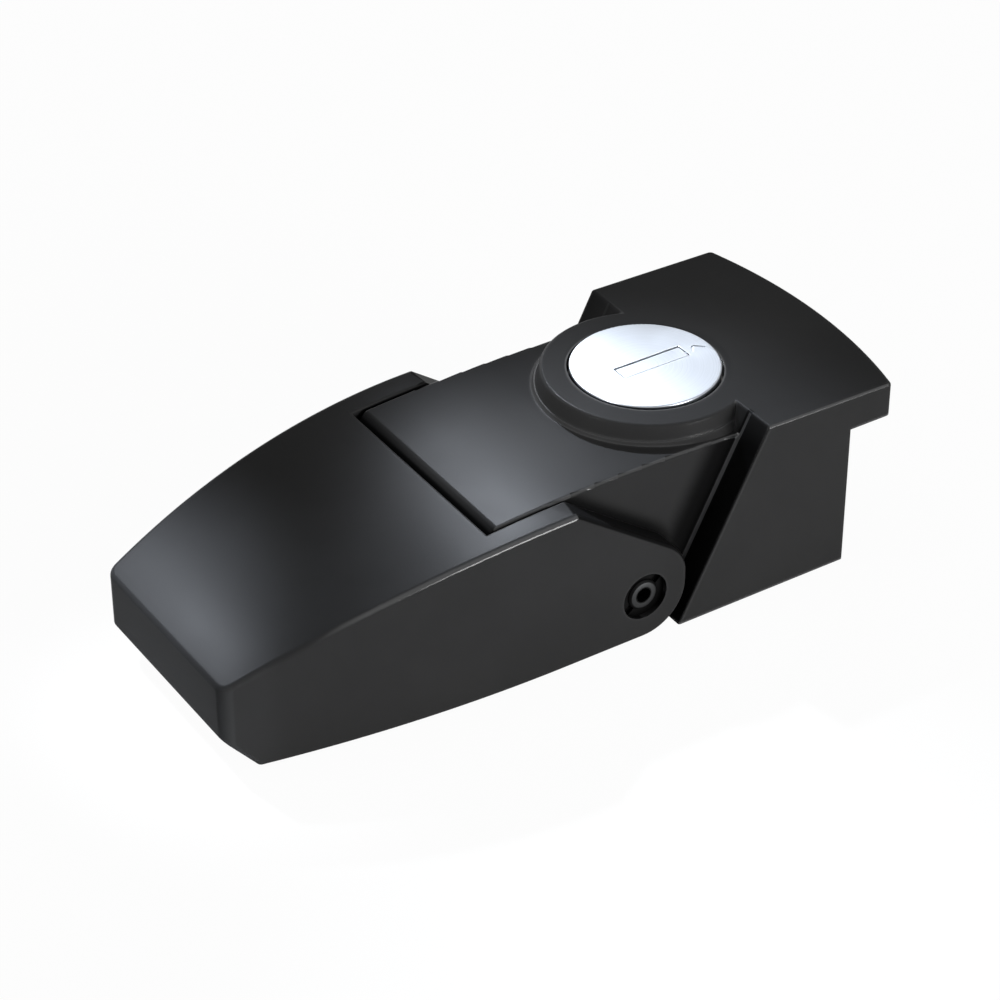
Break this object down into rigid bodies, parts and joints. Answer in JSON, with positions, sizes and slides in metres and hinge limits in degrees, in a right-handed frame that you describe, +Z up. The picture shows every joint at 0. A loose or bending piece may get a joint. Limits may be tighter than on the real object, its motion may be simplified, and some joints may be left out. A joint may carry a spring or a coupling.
{
  "type": "compression latch",
  "caption": "Low-profile lever compression latch: a black die-cast housing with an overhanging lip and a keyed lock, and a long lever whose linkage swings a hook.",
  "frame": {"origin": "where the lock's axis meets the flat base plane that the latch is screwed down on", "axes": "+X along the latch from the lever's tip to the lip, +Z up out of the panel, Y across; the lever's tip points along -X"},
  "size_m": [0.11, 0.044, 0.0292],
  "materials": {
    "black_coat": "satin black powder coat with a fine grain",
    "dark_steel": "black oxide, turned",
    "bright_face": "satin bright nickel, very lightly turned",
    "nickel_casting": "nickel-plated casting",
    "zinc_plate": "zinc plate",
    "hard_steel": "ground steel",
    "spring_steel": "spring temper",
    "bronze": "sintered bronze",
    "lock_brass": "machined brass",
    "slide_plastic": "natural acetal",
    "rubber": "moulded nitrile rubber"
  },
  "bodies": {
    "body": {"housing": "black_coat", "base_cover": "zinc_plate", "cover_screws": "zinc_plate", "pivot_bushes": "bronze", "detent_spring": "spring_steel", "spring_rivets": "zinc_plate", "pawl_pin": "hard_steel", "pin_grub_screw": "dark_steel", "lock_barrel": "nickel_casting", "barrel_clip": "spring_steel", "lock_seal": "rubber"},
    "lever": {"lever": "black_coat", "lever_bumpers": "rubber", "pivot_shaft": "dark_steel", "shaft_collars": "dark_steel", "crank_plates": "hard_steel", "crank_pins": "hard_steel", "detent_cam": "hard_steel"},
    "links": {"drive_links": "hard_steel"},
    "pawl": {"pawl": "nickel_casting", "pawl_bush": "bronze", "pawl_pins": "hard_steel", "pawl_pad": "slide_plastic"},
    "plug": {"lock_plug": "lock_brass", "plug_cap": "bright_face", "flap_pin": "spring_steel", "flap_spring": "spring_steel", "wafers": "lock_brass", "wafer_springs": "spring_steel", "lock_cam": "zinc_plate", "cam_screw": "zinc_plate"},
    "flap": {"key_flap": "bright_face"},
    "slide": {"lock_slide": "hard_steel"}
  },
  "joints": [
    {"name": "lever_hinge", "type": "hinge", "parent": "body", "child": "lever", "pos_m": [-0.0148, 0, 0.0075], "axis": [0, 1, 0], "range_deg": [0, 80]},
    {"name": "link_pivot", "type": "hinge", "parent": "lever", "child": "links", "pos_m": [-0.0194, 0, 0.01135], "axis": [0, 1, 0], "range_deg": [-80, 0]},
    {"name": "pawl_hinge", "type": "hinge", "parent": "body", "child": "pawl", "pos_m": [0.0134, 0, 0.0125], "axis": [0, 1, 0], "range_deg": [0, 80]},
    {"name": "plug_turn", "type": "hinge", "parent": "body", "child": "plug", "pos_m": [0, 0, 0.02], "axis": [0, 0, 1], "range_deg": [0, 90]},
    {"name": "slide_travel", "type": "slide", "parent": "body", "child": "slide", "axis": [1, 0, 0], "range_m": [-0.00665, 0]},
    {"name": "flap_hinge", "type": "hinge", "parent": "plug", "child": "flap", "pos_m": [0, 0.00105, 0.02875], "axis": [1, 0, 0], "range_deg": [0, 75], "stiffness_Nm_per_rad": 0.0005, "springref_deg": -20.05}
  ],
  "couplings": [
    {"joint": "link_pivot", "follows": "lever_hinge", "ratio": -1},
    {"joint": "pawl_hinge", "follows": "lever_hinge", "ratio": 1},
    {"joint": "slide_travel", "follows": "plug_turn", "m_per_rad": -0.0042315}
  ]
}
